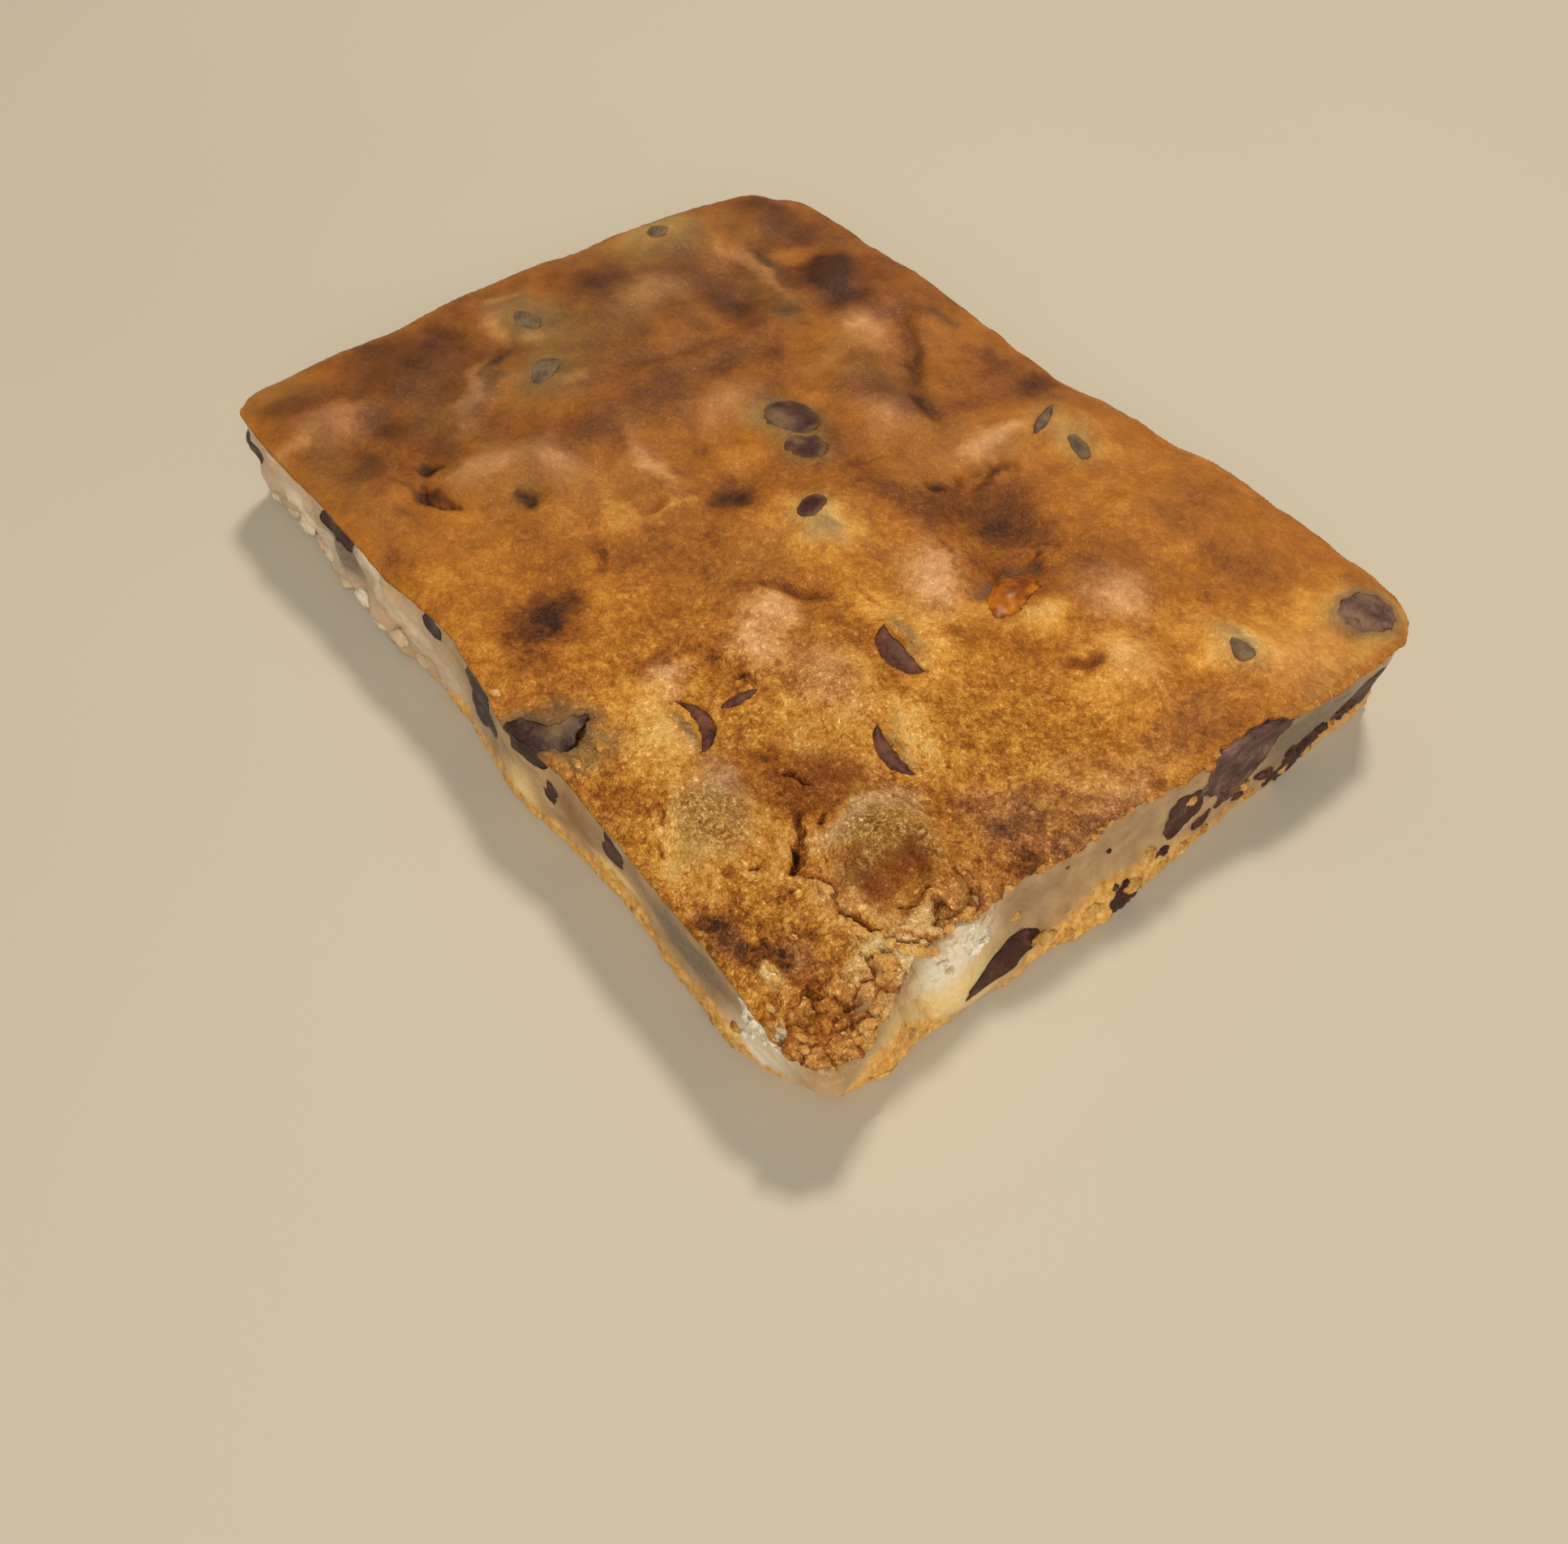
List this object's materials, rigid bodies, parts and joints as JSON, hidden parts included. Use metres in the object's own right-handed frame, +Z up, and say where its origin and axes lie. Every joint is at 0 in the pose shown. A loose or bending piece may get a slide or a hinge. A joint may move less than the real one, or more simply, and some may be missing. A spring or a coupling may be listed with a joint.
{
  "type": "almond flour blondie",
  "caption": "Rectangular knife-cut slab of almond flour blondie with a browned crust, dense cut faces and dark chocolate chips.",
  "frame": {"origin": "middle of the underside's box, on the surface that the slab lies on", "axes": "+X along the long side, +Y along the short side towards the plain cut face, +Z up through the crust"},
  "size_m": [0.1232, 0.0912, 0.0166],
  "materials": {
    "baked_blondie": "browned, finely grained baked crust with a soft satin gloss, over a dense grey-beige crumb",
    "chocolate": "dark chocolate with a thin grey bloom",
    "caramel": "smooth glossy amber",
    "white_flake": "chalky, flaky white"
  },
  "bodies": {
    "root": {"blondie_slab": "baked_blondie", "chip_crust_1": "chocolate", "chip_crust_2": "chocolate", "chip_crust_3": "chocolate", "chip_crust_4": "chocolate", "chip_crust_5": "chocolate", "chip_crust_6": "chocolate", "chip_crust_7": "chocolate", "chip_crust_8": "chocolate", "chip_crust_9": "chocolate", "chip_crust_10": "chocolate", "chip_crust_11": "chocolate", "chip_crust_12": "chocolate", "chip_crust_13": "chocolate", "chip_long_face_1": "chocolate", "chip_long_face_2": "chocolate", "chip_long_face_3": "chocolate", "chip_long_face_4": "chocolate", "chip_long_face_5": "chocolate", "chip_long_face_6": "chocolate", "chip_long_face_7": "chocolate", "chip_short_face_1": "chocolate", "chip_short_face_2": "chocolate", "chip_short_face_3": "chocolate", "chip_short_face_4": "chocolate", "chip_short_face_5": "chocolate", "chip_short_face_6": "chocolate", "chip_corner": "chocolate", "caramel_lump": "caramel", "white_flake_long_face": "white_flake", "white_flake_short_face": "white_flake"}
  },
  "joints": []
}
